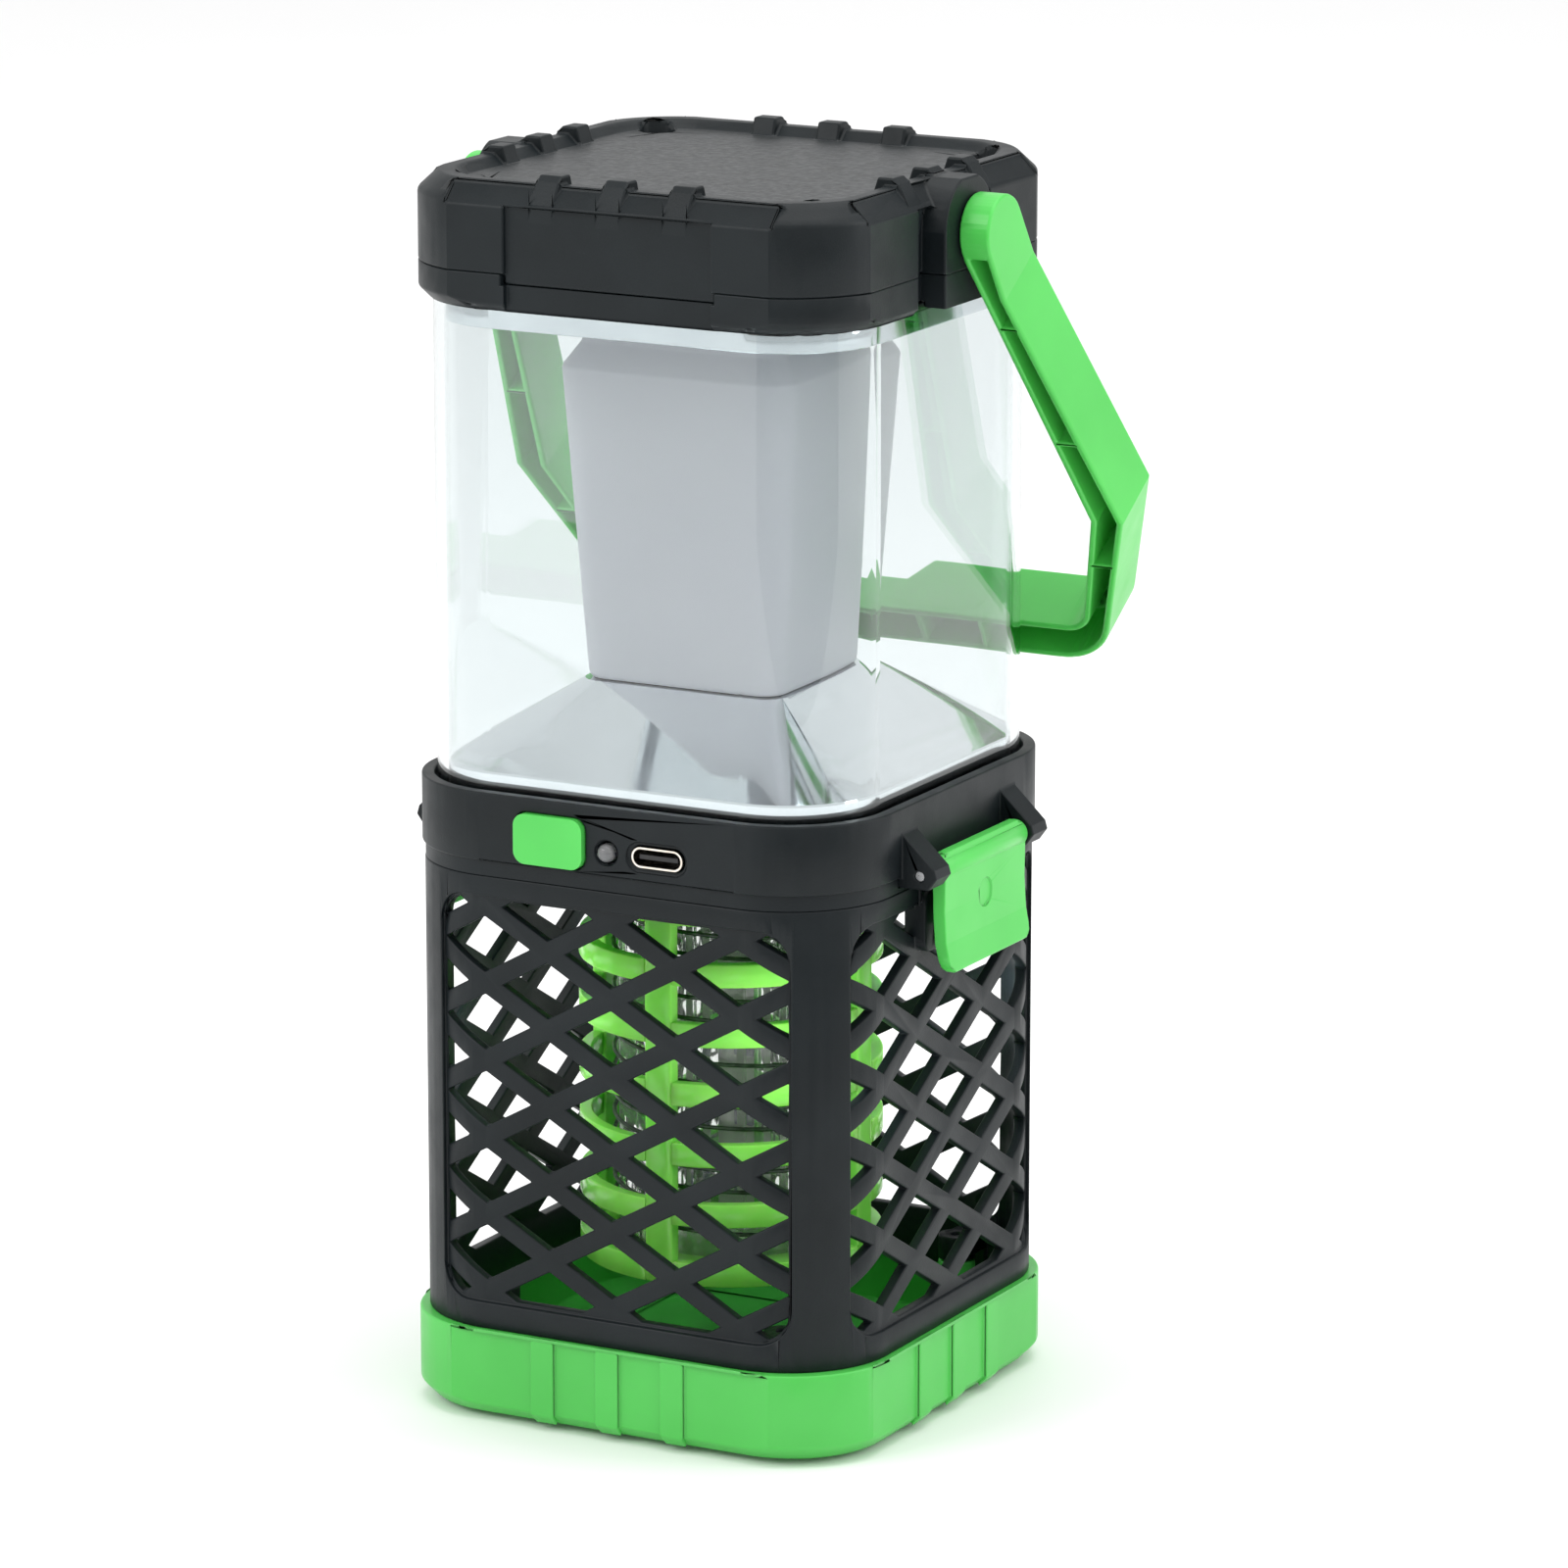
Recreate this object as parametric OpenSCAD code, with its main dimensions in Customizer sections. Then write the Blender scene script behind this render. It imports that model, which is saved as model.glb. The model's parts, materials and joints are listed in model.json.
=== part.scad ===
// Rechargeable camping lantern with an insect zapper in a lattice cage.
// Millimetres. Z is up, the control face looks along -Y, the latches are on the two X faces.
// The origin is the centre of the flat pad that the lantern stands on.

/* [Base tray] */
// Half width of the tray across its corner blocks
tray_a = 41.25; // [38:0.05:46]
// Corner radius of the tray
tray_r = 17.3; // [10:0.1:22]
// Height of the tray lip above the ground
tray_top = 15; // [12:0.5:20]
// Height of the flat pad under the tray that the lantern stands on
pad_h = 0.8; // [0.4:0.1:2]
// Chamfer round the bottom edge of the tray
tray_chamfer = 2.4; // [0.5:0.1:4]
// Thickness of the tray floor
tray_floor = 1.8; // [1:0.1:3]
// Depth of the set back panel between the corner blocks
tray_recess = 0.6; // [0.2:0.1:1.2]

/* [Cage] */
// Half width of the cage
cage_a = 40.1; // [37:0.05:44]
// Corner radius of the cage
cage_r = 17.3; // [10:0.1:22]
// Height of the top rim of the cage
cage_top = 88.8; // [70:0.1:100]
// Wall thickness of the cage
cage_wall = 2.6; // [1.6:0.1:4]
// Horizontal distance between lattice crossings
lattice_x = 11.25; // [8:0.05:15]
// Vertical distance between lattice crossings in one column
lattice_z = 12.55; // [8:0.05:18]
// Width of a lattice bar
bar_w = 3.1; // [2:0.1:5]
// Half width of the lattice panel on each face
panel_x = 31; // [24:0.5:34]
// Height of the bottom edge of the lattice panel
panel_z0 = 19.3; // [16:0.1:26]
// Height of the top edge of the lattice panel
panel_z1 = 85.5; // [70:0.1:96]

/* [Collar] */
// Half width of the collar
collar_a = 40.6; // [38:0.05:45]
// Corner radius of the collar
collar_r = 18; // [10:0.1:22]
// Height where the head rests on the cage
head_z = 88.9; // [80:0.1:100]
// Height of the seam between collar floor and collar housing
seam_z = 91.3; // [90:0.1:94]
// Height of the top edge of the collar
collar_top = 102.3; // [98:0.1:110]

/* [Lantern] */
// Half width of the clear shade
shade_a = 38.2; // [35:0.05:40]
// Corner radius of the clear shade
shade_r = 16; // [8:0.1:20]
// Wall thickness of the clear shade
shade_wall = 1.7; // [1:0.1:3]
// Height of the foot of the diffuser
diffuser_z0 = 116.6; // [110:0.1:125]
// Half width of the diffuser at its foot
diffuser_a0 = 17.3; // [12:0.1:22]
// Half width of the diffuser at its fold
diffuser_a1 = 20.5; // [14:0.1:26]
// Height of the fold in the diffuser
diffuser_fold = 166.4; // [150:0.1:172]
// Half width of the diffuser's neck above the fold
diffuser_a2 = 17.6; // [12:0.1:20]

/* [Cap] */
// Half width of the cap across its corner blocks
cap_a = 40.2; // [38:0.05:45]
// Corner radius of the cap
cap_r = 17.4; // [10:0.1:22]
// Height of the underside of the cap
cap_z0 = 178; // [160:0.1:200]
// Height of the seam between the two cap shells
cap_seam = 183.8; // [180:0.1:190]
// Height of the rim on the cap top
cap_rim = 197.8; // [190:0.1:210]
// Height of the panel sunk into the cap top
cap_panel = 196.3; // [188:0.1:208]
// Height of the grip ribs on the cap top
cap_rib = 199.1; // [191:0.1:211]

/* [Handle] */
// Height of the handle pivot
pivot_z = 190.3; // [186:0.1:194]
// Angle behind the vertical at which the handle hangs
handle_tilt = 33.3; // [20:0.1:60]
// Inner half width of the handle at its pivots
handle_in = 42.2; // [41.5:0.05:44]
// Outer half width of the handle at its pivots
handle_out = 47.3; // [46:0.1:52]
// Inner half width of the handle at its elbows
elbow_in = 49.7; // [46:0.1:54]
// Outer half width of the handle at its elbows
elbow_out = 55.4; // [50:0.1:60]
// Distance of the elbows from the pivots
elbow_w = 57; // [45:0.1:65]
// Distance of the inner face of the grip from the pivots
grip_in = 81.5; // [76:0.1:86]
// Distance of the outer face of the grip from the pivots
grip_out = 88.9; // [84:0.1:94]
// Distance of the open face of the handle in front of the pivots
handle_front = 5; // [3:0.1:7]
// Distance of the closed face of the handle behind the pivots
handle_back = 6.9; // [5:0.1:9]
// Distance from the pivots down to the middle of the rounded ends
end_drop = 1.6; // [0:0.1:3]
// Radius of the trunnion pins of the handle
trunnion_r = 3; // [2:0.05:4]

/* [Latches] */
// Distance of the latch pins from the middle of the body
latch_x = 43.6; // [42.5:0.05:46]
// Height of the latch pins
latch_z = 91.8; // [88:0.1:96]
// Half width of the latch plate
latch_w = 13.9; // [8:0.1:18]
// Radius of the latch pins
latch_pin_r = 0.75; // [0.5:0.05:1.5]

/* [Zapper tower] */
// Outer radius of the tower guard
guard_r = 24.3; // [20:0.1:28]
// Height of the top face of the highest guard ring
ring_top = 84; // [76:0.1:90]
// Distance from one guard ring to the next
ring_pitch = 9.78; // [6:0.02:14]
// Height of one guard ring
ring_h = 3.8; // [2:0.1:6]
// Outer radius of the fluted tube
tube_r = 18; // [14:0.1:21]
// Radius at which the grid wires run
wire_r = 18.75; // [15:0.05:22]
// Thickness of a grid wire
wire_d = 0.7; // [0.4:0.05:1.2]
// Rise of one grid wire in a full turn
wire_lead = 6.94; // [4:0.02:12]

/* [Controls] */
// Distance of the power button from the middle of the front
button_x = -9.8; // [-20:0.1:0]
// Height of the middle of the power button
button_z = 95.95; // [93:0.05:98]
// Width of the power button
button_w = 12.2; // [8:0.1:16]
// Height of the power button
button_h = 8; // [6:0.1:10]
// Height of the middle of the charging port
port_z = 95.1; // [93:0.1:98]
// Distance of the charging port from the middle of the front
port_x = 9.05; // [4:0.05:16]

/* [Hidden] */
$fn = 64;
eps = 0.01;
rib_pitch = 11.65;
rib_w = 4.1;
rib_at = [-rib_pitch, 0, rib_pitch];
tray_z0 = pad_h;
post_at = [25.4, 30];
screw_at = 29;
floor_at = 30;
ring_count = 7;
ring_wall = 2;
post_w = 4.8;
guard_foot = ring_top - (ring_count - 1) * ring_pitch - ring_h;
tube_wall = 1.4;
flute_count = 40;
wire_z0 = guard_foot + 6;
wire_z1 = ring_top - 2;
wire_sides = 6;
wire_steps = 22;
board_top = 93.45;
board_t = 1.6;
bar_dz = bar_w / 2 / cos(atan(lattice_z / 2 / lattice_x));
hole_dz = lattice_z / 2 - bar_dz;
hole_dx = hole_dz * 2 * lattice_x / lattice_z;

// Rounded square, centred, half width a and corner radius r
module rsq(a, r) {
    square([2 * (a - r), 2 * a], center = true);
    square([2 * a, 2 * (a - r)], center = true);
    for (sx = [-1, 1], sy = [-1, 1])
        translate([sx * (a - r), sy * (a - r)]) circle(r = r);
}

module rsq_slab(a, r, z0, z1) {
    translate([0, 0, z0]) linear_extrude(height = z1 - z0) rsq(a, r);
}

module rsq_ring(a, r, wall, z0, z1) {
    translate([0, 0, z0]) linear_extrude(height = z1 - z0) difference() {
        rsq(a, r);
        rsq(a - wall, r - wall);
    }
}

// Rounded rectangle w by h with corner radius r
module rrect(w, h, r) {
    square([w - 2 * r, h], center = true);
    square([w, h - 2 * r], center = true);
    for (sx = [-1, 1], sy = [-1, 1])
        translate([sx * (w / 2 - r), sy * (h / 2 - r)]) circle(r = r, $fn = 32);
}

// Rounded square slab whose half width grows from a0 at z0 to a1 at z1
module taper_slab(a0, a1, r1, z0, z1) {
    s = a1 - r1;
    translate([-s, 0, 0]) rotate([90, 0, 90]) linear_extrude(height = 2 * s)
        polygon([[-a0, z0], [a0, z0], [a1, z1], [-a1, z1]]);
    translate([0, s, 0]) rotate([90, 0, 0]) linear_extrude(height = 2 * s)
        polygon([[-a0, z0], [a0, z0], [a1, z1], [-a1, z1]]);
    for (sx = [-1, 1], sy = [-1, 1])
        translate([sx * s, sy * s, z0]) cylinder(h = z1 - z0, r1 = r1 - (a1 - a0), r2 = r1);
}

module each_side() {
    for (k = [0:3]) rotate([0, 0, 90 * k]) children();
}

module each_corner(p) {
    for (k = [0, 1], m = [0, 1]) mirror([k, 0, 0]) mirror([0, m, 0])
        translate([p[0], p[1], 0]) children();
}

// Runs a cylinder along Y, starting at y0
module along_y(x, y0, z, r, len) {
    translate([x, y0, z]) rotate([-90, 0, 0]) cylinder(h = len, r = r);
}

module along_x(x0, y, z, r, len) {
    translate([x0, y, z]) rotate([0, 90, 0]) cylinder(h = len, r = r);
}

// Profile in the X-Z plane, extruded from y0 towards +Y
module xz_extrude(y0, len) {
    translate([0, y0 + len, 0]) rotate([90, 0, 0]) linear_extrude(height = len) children();
}

// Profile in the Y-Z plane, extruded from x0 towards +X
module yz_extrude(x0, len) {
    translate([x0, 0, 0]) rotate([90, 0, 90]) linear_extrude(height = len) children();
}

// ---- Stand: tray, cage and what joins them ----

module base_tray() {
    color("limegreen") difference() {
        union() {
            difference() {
                union() {
                    taper_slab(tray_a - tray_chamfer, tray_a, tray_r, tray_z0, tray_z0 + tray_chamfer);
                    rsq_slab(tray_a, tray_r, tray_z0 + tray_chamfer, tray_top);
                }
                each_side() translate([-29, -tray_a - 1, tray_z0 - 1])
                    cube([58, 1 + tray_recess, tray_top]);
                rsq_slab(38.9, 15, tray_z0 + tray_floor, tray_top + 1);
            }
            each_side() for (x = rib_at) translate([x - rib_w / 2, 0, 0]) yz_extrude(0, rib_w)
                polygon([[-39.6, tray_z0 + 1.2], [-tray_a + 1.6, tray_z0], [-tray_a, tray_z0 + 1.6],
                    [-tray_a, tray_top - 0.3], [-39.6, tray_top - 0.3]]);
            each_corner(post_at) translate([0, 0, tray_z0 + 1])
                cylinder(h = tray_top - 1.2 - tray_z0, r = 3);
            rsq_slab(33.5, 10, 0, tray_z0 + 0.5);
        }
        each_corner(post_at) {
            translate([0, 0, tray_z0 - 1]) cylinder(h = tray_top + 2, r = 1.3);
            translate([0, 0, tray_z0 - 1]) cylinder(h = 5, r = 2.3);
        }
    }
}

module lattice_holes() {
    for (i = [-3:3], j = [0:5])
        translate([i * lattice_x, 21.1 + (i % 2 == 0 ? lattice_z / 2 : 0) + j * lattice_z])
            polygon([[-hole_dx, 0], [0, -hole_dz], [hole_dx, 0], [0, hole_dz]]);
    for (i = [-3:3]) if (i % 2 == 0)
        translate([i * lattice_x, 21.1 - lattice_z / 2])
            polygon([[-hole_dx, 0], [0, -hole_dz], [hole_dx, 0], [0, hole_dz]]);
}

module panel_outline(grow) {
    w = panel_x + grow;
    translate([0, (panel_z0 + panel_z1) / 2]) rrect(2 * w, panel_z1 - panel_z0 + 2 * grow, 5 + grow);
}

// Catch on the cage that a latch hooks into, on the +X face
module catch_block() {
    difference() {
        translate([cage_a - cage_wall, 0, 0]) yz_extrude(0, cage_wall + 1.2) translate([0, 82.6])
            rrect(25.2, 9.8, 2);
        translate([36, -9.8, 79.6]) cube([8, 19.6, 4.5]);
    }
    translate([cage_a - cage_wall, -12.6, 84.5]) cube([cage_wall + 0.4, 25.2, cage_top - 84.5]);
}

// Lugs that the tray screws bite into, on the -Y wall
module cage_lugs() {
    for (m = [0, 1]) mirror([m, 0, 0]) translate([post_at[0], -post_at[1], tray_top]) difference() {
        union() {
            cylinder(h = 4, r = 3);
            translate([-2, -8.4, 0]) cube([4, 8.4, 4]);
        }
        translate([0, 0, -1]) cylinder(h = 6, r = 1);
    }
}

// One wall of the cage, on the -Y face, between the diagonals of two corners
module cage_wall_panel() {
    difference() {
        intersection() {
            union() {
                rsq_ring(cage_a, cage_r, cage_wall, tray_top, cage_top);
                rsq_ring(38.7, 15.9, 1.2, 11, tray_top + 0.5);
            }
            translate([0, 0, 5]) linear_extrude(height = 90) polygon([[0, 0], [-60, -60], [60, -60]]);
        }
        xz_extrude(-60, 40) intersection() {
            lattice_holes();
            panel_outline(-0.6);
        }
        difference() {
            xz_extrude(-60, 40) panel_outline(0);
            rsq_slab(cage_a - 0.8, cage_r - 0.8, 0, 100);
        }
    }
}

module cage_front() {
    color("dimgray") {
        cage_wall_panel();
        cage_lugs();
    }
}

module cage_back() {
    color("dimgray") rotate([0, 0, 180]) {
        cage_wall_panel();
        cage_lugs();
    }
}

module cage_right() {
    color("dimgray") {
        rotate([0, 0, 90]) cage_wall_panel();
        catch_block();
    }
}

module cage_left() {
    color("dimgray") {
        rotate([0, 0, -90]) cage_wall_panel();
        mirror([1, 0, 0]) catch_block();
    }
}

module tray_screws() {
    color("silver") each_corner(post_at) difference() {
        union() {
            translate([0, 0, 2.6]) cylinder(h = 1.9, r = 2.1);
            translate([0, 0, 4.4]) cylinder(h = 14, r = 1);
        }
        translate([0, 0, 2]) cross_slot(2.4, 0.6, 1.4);
    }
}

module cross_slot(w, t, h) {
    translate([-w / 2, -t / 2, 0]) cube([w, t, h]);
    translate([-t / 2, -w / 2, 0]) cube([t, w, h]);
}

// ---- Head: collar, electronics, lantern and cap ----

// Triangular ears that carry a latch pin, on the +X face
module latch_ears() {
    for (y0 = [-19.4, 14.2]) xz_extrude(y0, 5.2)
        polygon([[38, seam_z - 1.6], [latch_x + 1.6, seam_z - 1.6], [latch_x + 3, latch_z - 0.2],
            [latch_x + 2.6, latch_z + 1.2], [collar_a - 0.1, 98.4], [38, 98.4]]);
}

module collar_housing() {
    color("dimgray") difference() {
        union() {
            rsq_ring(collar_a, collar_r, 2, seam_z, collar_top);
            rsq_ring(38.7, 16.1, 3.2, 98.9, 100.4);
            latch_ears();
            mirror([1, 0, 0]) latch_ears();
            each_corner([floor_at, floor_at]) translate([0, 0, seam_z]) cylinder(h = 8, r = 3.4);
        }
        xz_extrude(-45, 8) translate([button_x, button_z]) rrect(button_w + 0.3, button_h + 0.3, 2.1);
        xz_extrude(-45, 8) translate([port_x, port_z]) rrect(9.3, 3.6, 1.75);
        xz_extrude(-45, 4.95) translate([port_x, port_z]) rrect(10.6, 4.9, 2.4);
        along_y(0.15, -45, port_z, 1.6, 8);
        along_y(0.15, -45, port_z, 2, 5);
        for (s = [-1, 1]) along_y(s * latch_x, -20, latch_z, latch_pin_r, 40);
        each_corner([floor_at, floor_at]) translate([0, 0, seam_z - 1]) cylinder(h = 8, r = 1);
    }
}

module collar_floor() {
    color("dimgray") difference() {
        union() {
            rsq_slab(collar_a - 0.5, collar_r - 0.5, head_z, seam_z);
            rsq_ring(36.9, 14.1, 1.4, 86.9, head_z + 0.5);
        }
        for (s = [-1, 1], y0 = [-19.6, 14])
            translate([s * 42.4 - 4.8, y0, seam_z - 1.8]) cube([9.6, 5.6, 4]);
        each_corner([floor_at, floor_at]) {
            translate([0, 0, head_z - 1]) cylinder(h = 5, r = 1.3);
            translate([0, 0, head_z - 1]) cylinder(h = 2, r = 2.3);
        }
        for (x = [-8, 8]) translate([x, 0, head_z - 1]) cylinder(h = 5, r = 1.6);
        for (k = [0:3]) rotate([0, 0, 45 + 90 * k]) translate([20, 0, 0]) {
            translate([0, 0, head_z - 1]) cylinder(h = 5, r = 1.3);
            translate([0, 0, seam_z - 1.4]) cylinder(h = 5, r = 2.5);
        }
    }
}

module floor_screws() {
    color("silver") {
        each_corner([floor_at, floor_at]) {
            translate([0, 0, head_z - 0.6]) cylinder(h = 1.6, r = 2.1);
            translate([0, 0, head_z + 0.9]) cylinder(h = 7, r = 1);
        }
        for (k = [0:3]) rotate([0, 0, 45 + 90 * k]) translate([20, 0, 0]) {
            translate([0, 0, seam_z - 1.4]) cylinder(h = 1.3, r = 2.3);
            translate([0, 0, seam_z - 6.2]) cylinder(h = 5, r = 0.98);
        }
    }
}

module shade() {
    color("white", 0.3) rsq_ring(shade_a, shade_r, shade_wall, 100.5, cap_z0 + 1.4);
}

module cap_side_cuts(z0, z1) {
    each_side() translate([-28.5, -cap_a - 1, z0]) cube([57, 1.8, z1 - z0]);
    for (k = [0, 2]) rotate([0, 0, 90 * k])
        translate([-18, -cap_a - 1, z0]) cube([36, 2.7, z1 - z0]);
    for (k = [1, 3]) rotate([0, 0, 90 * k])
        translate([-12, -cap_a - 1, z0]) cube([24, 3.4, z1 - z0]);
}

// Boss that carries the handle pivot, on the +X face
module pivot_boss(z0, z1) {
    intersection() {
        union() {
            yz_extrude(35.5, 6.5) translate([0, pivot_z]) circle(r = 8.2);
            translate([35.5, -8.2, cap_z0]) cube([6.5, 16.4, pivot_z - cap_z0]);
        }
        translate([30, -20, z0]) cube([20, 40, z1 - z0]);
    }
}

module cap_base() {
    color("dimgray") difference() {
        union() {
            difference() {
                union() {
                    taper_slab(cap_a - 1.8, cap_a, cap_r, cap_z0, cap_z0 + 1.8);
                    rsq_slab(cap_a, cap_r, cap_z0 + 1.8, cap_seam);
                }
                rsq_slab(37, 14.2, cap_z0 + 2.6, cap_seam + 1);
                cap_side_cuts(cap_z0 - 1, cap_seam + 1);
                for (k = [0, 2]) rotate([0, 0, 90 * k])
                    translate([-18.6, -cap_a - 1, 182.1]) cube([37.2, 6, 3]);
            }
            pivot_boss(cap_z0 + 0.6, cap_seam);
            mirror([1, 0, 0]) pivot_boss(cap_z0 + 0.6, cap_seam);
            each_corner([screw_at, screw_at]) translate([0, 0, cap_z0 + 2]) cylinder(h = 4, r = 3.6);
        }
        rsq_ring(shade_a + 0.1, shade_r + 0.1, shade_wall + 0.2, cap_z0 - 1, cap_z0 + 1.5);
        each_corner([screw_at, screw_at]) translate([0, 0, cap_z0 + 2.6]) cylinder(h = 8, r = 1);
        translate([0, 0, cap_z0 - 1]) cylinder(h = 6, r = 4);
    }
}

module cap_rib_shape() {
    polygon([[-38.2, 190], [-38.9, 194.6], [-36.6, 198.2], [-35.6, cap_rib], [-33, cap_rib],
        [-31.9, cap_panel - 0.4], [-31.9, 190]]);
}

module cap_top() {
    color("dimgray") difference() {
        union() {
            difference() {
                union() {
                    rsq_slab(cap_a, cap_r, cap_seam, 194.8);
                    mirror([0, 0, 1])
                        taper_slab(cap_a - 3.2, cap_a, cap_r, -cap_rim, -194.8);
                }
                taper_slab(cap_panel - 163.6, 34.4, 11.6, cap_panel, cap_rim + eps);
                cap_side_cuts(cap_seam - 1, 194.3);
                each_side() translate([-28.5, 0, 0]) yz_extrude(0, 57)
                    polygon([[-45, 193], [-39.4, 193], [-39.4, 194.2], [-36.4, 197.2], [-36.4, 205], [-45, 205]]);
            }
            for (k = [0, 2]) rotate([0, 0, 90 * k])
                translate([-18.4, -cap_a + 1.7, 182.2]) cube([36.8, 2, 3]);
            each_side() for (x = rib_at) translate([x - rib_w / 2, 0, 0]) yz_extrude(0, rib_w)
                cap_rib_shape();
            pivot_boss(cap_seam, 198);
            mirror([1, 0, 0]) pivot_boss(cap_seam, 198);
        }
        rsq_slab(36.4, 13.6, cap_seam - 2, 194.3);
        each_corner([screw_at, screw_at]) translate([0, 0, 188]) cylinder(h = 12, r = 2.7);
        for (s = [-1, 1]) along_x(s * 38 - 7, 0, pivot_z, trunnion_r + 0.06, 14);
    }
    color("dimgray") each_corner([screw_at, screw_at]) difference() {
        translate([0, 0, cap_seam + 0.3]) cylinder(h = 11, r = 4);
        translate([0, 0, 188]) cylinder(h = 12, r = 2.7);
        translate([0, 0, cap_seam - 1]) cylinder(h = 12, r = 1.3);
    }
}

module cap_screws() {
    color("silver") each_corner([screw_at, screw_at]) difference() {
        union() {
            translate([0, 0, 188.1]) cylinder(h = 2, r = 2.3);
            translate([0, 0, 181.6]) cylinder(h = 6.6, r = 1);
        }
        translate([0, 0, 189.2]) cross_slot(2.6, 0.7, 2);
    }
}

module top_reflector() {
    color("silver") difference() {
        rsq_slab(shade_a - shade_wall - 0.25, shade_r - shade_wall - 0.25, 174.7, cap_z0 - 0.05);
        rsq_slab(35, 13, 174, 176.8);
        rsq_slab(diffuser_a2 + 0.4, 4.2, 170, 180);
    }
}

module lantern_board() {
    color("white") difference() {
        rsq_slab(diffuser_a2 - 1.4, 2.8, 176.3, cap_z0 - 0.1);
        for (x = [-4, 4]) translate([x, 0, 170]) cylinder(h = 10, r = 1);
    }
}

module lantern_leds() {
    color("gold") for (k = [0:11]) rotate([0, 0, 30 * k])
        translate([11, -1.4, 175.5]) cube([3.5, 2.8, 0.8]);
}

// Foot, fold and neck of the diffuser, drawn in by t all round
module diffuser_body(t, z0, z1) {
    hull() {
        rsq_slab(diffuser_a0 - t, 4 - t * 0.8, z0, z0 + 0.1);
        rsq_slab(diffuser_a1 - t, 5.4 - t * 0.8, diffuser_fold - 0.1, diffuser_fold);
    }
    hull() {
        rsq_slab(diffuser_a1 - t, 5.4 - t * 0.8, diffuser_fold - 0.1, diffuser_fold);
        rsq_slab(diffuser_a2 - t, 3.8 - t * 0.8, diffuser_fold + 4, diffuser_fold + 4.1);
    }
    rsq_slab(diffuser_a2 - t, 3.8 - t * 0.8, diffuser_fold + 4, z1);
}

module diffuser() {
    color("white", 0.8) difference() {
        diffuser_body(0, diffuser_z0, cap_z0 - 1.2);
        diffuser_body(1.2, diffuser_z0 + 1.6, cap_z0);
    }
}

module lower_reflector() {
    color("silver") {
        difference() {
            hull() {
                rsq_slab(36.2, 14, 104.8, 105);
                rsq_slab(diffuser_a0 + 0.4, 4, diffuser_z0 - 0.3, diffuser_z0 - 0.1);
            }
            hull() {
                rsq_slab(35, 12.8, 104, 104.4);
                rsq_slab(diffuser_a0 - 1.2, 3, diffuser_z0 - 1.7, diffuser_z0 - 1.5);
            }
        }
        rsq_ring(36.3, 14.1, 1.3, 100.5, 104.9);
    }
}

module main_board() {
    color("green") difference() {
        translate([-26, -36.4, board_top - board_t]) cube([52, 26.9, board_t]);
        for (x = [-23.4, 23.4]) translate([x, -13, 90]) cylinder(h = 6, r = 1.2);
    }
}

module power_switch() {
    color("gray") difference() {
        translate([button_x - 3, -36, board_top + 0.05]) cube([6, 4, 5]);
        along_y(button_x, -37, button_z, 1.8, 3.4);
    }
}

module switch_plunger() {
    color("black") along_y(button_x, -36.75, button_z, 1.72, 2.5);
}

module power_button() {
    color("limegreen") {
        xz_extrude(-41.5, 3.3) translate([button_x, button_z]) rrect(button_w, button_h, 2);
        xz_extrude(-38.2, 0.8) translate([button_x, button_z - 0.75]) square([14.4, 6.6], center = true);
        along_y(button_x, -37.5, button_z, 2, 0.7);
    }
}

module indicator_led() {
    color("white", 0.7) {
        along_y(0.15, -40.3, port_z, 1.45, 5.5);
        along_y(0.15, -36, port_z, 1.6, 1.4);
        translate([0.15, -40.3, port_z]) sphere(r = 1.45);
    }
}

module usb_shell() {
    color("gold") difference() {
        xz_extrude(-40.4, 7.3) translate([port_x, port_z]) rrect(8.94, 3.26, 1.62);
        xz_extrude(-41, 7.2) translate([port_x, port_z]) rrect(8.34, 2.66, 1.32);
    }
}

module usb_tongue() {
    color("black") {
        translate([port_x - 3.35, -39.8, port_z - 0.35]) cube([6.7, 6, 0.7]);
        xz_extrude(-34.6, 0.75) translate([port_x, port_z]) rrect(8.2, 2.5, 1.2);
    }
}

module battery_pack() {
    color("silver") translate([0, 8.5, seam_z + 0.4]) linear_extrude(height = 10)
        rrect(50, 34, 3);
}

module hv_transformer() {
    color("darkgoldenrod") {
        translate([10, -23, board_top + 0.05]) cube([12, 3, 10]);
        translate([10, -14.4, board_top + 0.05]) cube([12, 3, 10]);
        along_y(16, -20.2, board_top + 5.2, 4.3, 6);
    }
}

module hv_capacitors() {
    color("steelblue") for (i = [0:2])
        translate([-20 + 8 * i, -18.5, board_top + 0.05]) cylinder(h = 9, r = 3.1);
}

module latch_pins() {
    color("silver") for (s = [-1, 1]) along_y(s * latch_x, -19, latch_z, latch_pin_r, 38);
}

// ---- Zapper tower under the collar floor ----

// The rings of the guard, as the arcs between its posts
module guard_rings() {
    color("green", 0.8) for (i = [0:ring_count - 1])
        translate([0, 0, ring_top - i * ring_pitch - ring_h]) difference() {
            cylinder(h = ring_h, r = guard_r, $fn = 96);
            translate([0, 0, -1]) cylinder(h = ring_h + 2, r = guard_r - ring_wall, $fn = 96);
            for (k = [0, 1]) rotate([0, 0, 90 * k])
                translate([-post_w / 2, -guard_r - 1, -1]) cube([post_w, 2 * guard_r + 2, ring_h + 2]);
        }
}

module guard_posts() {
    color("green", 0.8) for (k = [0:3]) rotate([0, 0, 90 * k]) intersection() {
        translate([-post_w / 2, -guard_r - 1, guard_foot])
            cube([post_w, ring_wall + 1.6, 87 - guard_foot]);
        translate([0, 0, guard_foot]) cylinder(h = 70, r = guard_r, $fn = 96);
    }
}

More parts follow.
